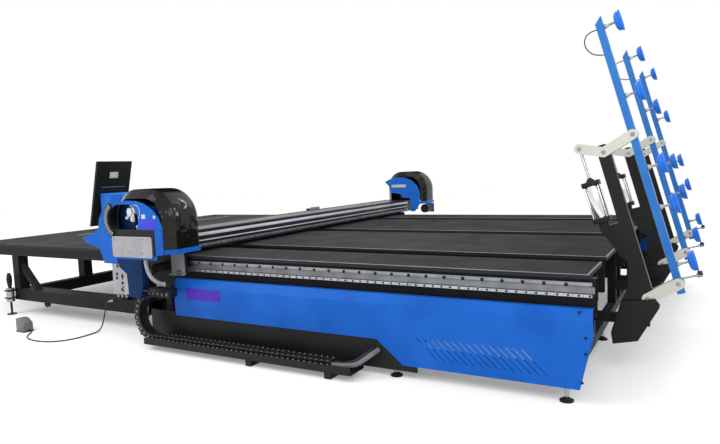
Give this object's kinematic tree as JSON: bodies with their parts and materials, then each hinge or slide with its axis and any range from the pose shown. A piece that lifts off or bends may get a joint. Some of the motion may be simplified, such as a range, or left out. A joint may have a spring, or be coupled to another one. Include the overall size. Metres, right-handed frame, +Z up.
{
  "type": "cnc glass cutting table",
  "caption": "Glass cutting table with a travelling bridge and cutting head, tilting suction-arm loader, felt breaking table, console and foot switch.",
  "frame": {"origin": "on the floor under the middle of the whole machine", "axes": "+X from the breaking table to the loader, +Y across the table away from the operator's side, +Z up"},
  "size_m": [8.9592, 6.2252, 2.7639],
  "materials": {
    "frame_paint": "satin charcoal paint",
    "cover_blue": "gloss blue powder coat",
    "arm_blue": "gloss blue powder coat",
    "dark_blue": "satin dark blue paint",
    "black_paint": "satin black paint",
    "black_gloss": "gloss black moulding",
    "felt": "dark grey felt",
    "board": "waterproof board",
    "rail_steel": "ground steel",
    "beam_anodised": "dark anodised extrusion",
    "silver": "satin aluminium",
    "off_white": "gloss off-white paint",
    "cup_rubber": "blue rubber",
    "chain_plastic": "black nylon",
    "hose_plastic": "grey corrugated tube",
    "cord_rubber": "black rubber",
    "pedal_grey": "grey moulding",
    "chrome_rod": "polished chrome"
  },
  "bodies": {
    "base": {"table_boards": "board", "table_felts": "felt", "side_beams": "frame_paint", "board_joists": "frame_paint", "frame_posts": "frame_paint", "base_beams": "frame_paint", "levelling_feet": "rail_steel", "guide_rails": "rail_steel", "drive_racks": "rail_steel", "front_cover": "cover_blue", "rear_cover": "cover_blue", "plinth_panel": "black_paint", "chain_tray": "black_paint", "x_chain_lower": "chain_plastic", "floor_conduits": "hose_plastic", "breaking_frame": "frame_paint", "breaking_board": "board", "breaking_felt": "felt", "jack_feet": "rail_steel", "console_post": "frame_paint", "console_box": "cover_blue", "console_panel": "black_paint", "loader_outriggers": "black_paint", "shaft_bearings": "black_paint", "swing_gearmotor": "black_paint", "pedal_housing": "pedal_grey", "pedal_cord": "cord_rubber", "cord_gland": "chain_plastic", "caster_forks": "black_paint"},
    "bridge": {"bridge_beam": "beam_anodised", "bridge_cap": "silver", "near_end_plate": "cover_blue", "near_hood": "black_gloss", "far_end_plate": "cover_blue", "far_hood": "black_gloss", "carriages": "black_paint", "guide_blocks": "rail_steel", "carriage_brackets": "silver", "drive_motors": "black_paint", "head_rails": "rail_steel", "chain_hanger": "dark_blue", "valve_manifold": "silver", "bridge_hose": "hose_plastic", "x_chain_upper": "chain_plastic"},
    "chain_bend": {"x_chain_bend": "chain_plastic"},
    "pinions": {"drive_pinions": "rail_steel"},
    "head": {"head_carriage": "silver"},
    "lift": {"cutter_lift": "black_paint"},
    "holder": {"cutter_holder": "rail_steel"},
    "breaker": {"breaker_bar": "silver"},
    "casters": {"caster_wheels": "cord_rubber"},
    "treadle": {"pedal_treadle": "black_paint"},
    "loader": {"swing_columns": "black_paint"},
    "rocker_set": {"rockers": "off_white"},
    "link_set": {"lower_links": "off_white"},
    "arm_set": {"suction_arms": "arm_blue", "suction_cups": "cup_rubber", "cup_stems": "rail_steel"},
    "cylinder_set": {"air_cylinders": "silver"},
    "rod_set": {"piston_rods": "chrome_rod"}
  },
  "joints": [
    {"name": "bridge_travel", "type": "slide", "parent": "base", "child": "bridge", "axis": [1, 0, 0], "range_m": [0, 3.4], "deforming": ["x_chain_upper", "x_chain_lower"]},
    {"name": "chain_roll", "type": "slide", "parent": "bridge", "child": "chain_bend", "axis": [1, 0, 0], "range_m": [-1.71, 0.01]},
    {"name": "pinion_spin", "type": "hinge", "parent": "bridge", "child": "pinions", "pos_m": [-0.16858, -0.1525, 0.774], "axis": [0, -1, 0], "continuous": true},
    {"name": "head_travel", "type": "slide", "parent": "bridge", "child": "head", "axis": [0, 1, 0], "range_m": [-2.79, 1.64]},
    {"name": "cutter_lift", "type": "slide", "parent": "head", "child": "lift", "axis": [0, 0, 1], "range_m": [-0.016, 0]},
    {"name": "cutter_swivel", "type": "hinge", "parent": "lift", "child": "holder", "pos_m": [-0.53024, 0.4475, 0.96], "axis": [0, 0, 1], "continuous": true},
    {"name": "breaker_lift", "type": "slide", "parent": "base", "child": "breaker", "axis": [0, 0, 1], "range_m": [0, 0.025]},
    {"name": "caster_roll", "type": "hinge", "parent": "base", "child": "casters", "pos_m": [-3.08958, -0.1525, 0.05], "axis": [0, 1, 0], "continuous": true},
    {"name": "treadle_press", "type": "hinge", "parent": "base", "child": "treadle", "pos_m": [-2.07358, -2.9725, 0.04], "axis": [0, -1, 0], "range_deg": [0, 6], "stiffness_Nm_per_rad": 30, "springref_deg": -5.73},
    {"name": "loader_swing", "type": "hinge", "parent": "base", "child": "loader", "pos_m": [4.07142, -0.1525, 0.388], "axis": [0, -1, 0], "range_deg": [-20, 74.5]},
    {"name": "rocker_tilt", "type": "hinge", "parent": "loader", "child": "rocker_set", "pos_m": [3.81242, -0.1525, 1.711], "axis": [0, -1, 0], "range_deg": [-12, 18]},
    {"name": "arm_pivot", "type": "hinge", "parent": "rocker_set", "child": "arm_set", "pos_m": [4.01542, -0.1525, 1.835], "axis": [0, -1, 0], "range_deg": [-19, 13]},
    {"name": "link_pivot", "type": "hinge", "parent": "loader", "child": "link_set", "pos_m": [4.12108, -0.1525, 0.59801], "axis": [0, -1, 0], "range_deg": [-13, 19]},
    {"name": "cylinder_pivot", "type": "hinge", "parent": "loader", "child": "cylinder_set", "pos_m": [3.81942, -0.1525, 1.115], "axis": [0, -1, 0], "range_deg": [-1.8, 2.44]},
    {"name": "rod_stroke", "type": "slide", "parent": "cylinder_set", "child": "rod_set", "axis": [-0.2808, 0, 0.9598], "range_m": [-0.0532, 0.0361]}
  ],
  "couplings": [
    {"joint": "chain_roll", "follows": "bridge_travel", "ratio": -0.5},
    {"joint": "pinion_spin", "follows": "bridge_travel", "rad_per_m": 41.667},
    {"joint": "arm_pivot", "follows": "rocker_tilt", "ratio": -1},
    {"joint": "link_pivot", "follows": "rocker_tilt", "ratio": 1},
    {"joint": "cylinder_pivot", "follows": "rocker_tilt", "ratio": 0.108},
    {"joint": "rod_stroke", "follows": "rocker_tilt", "m_per_rad": -0.163}
  ]
}
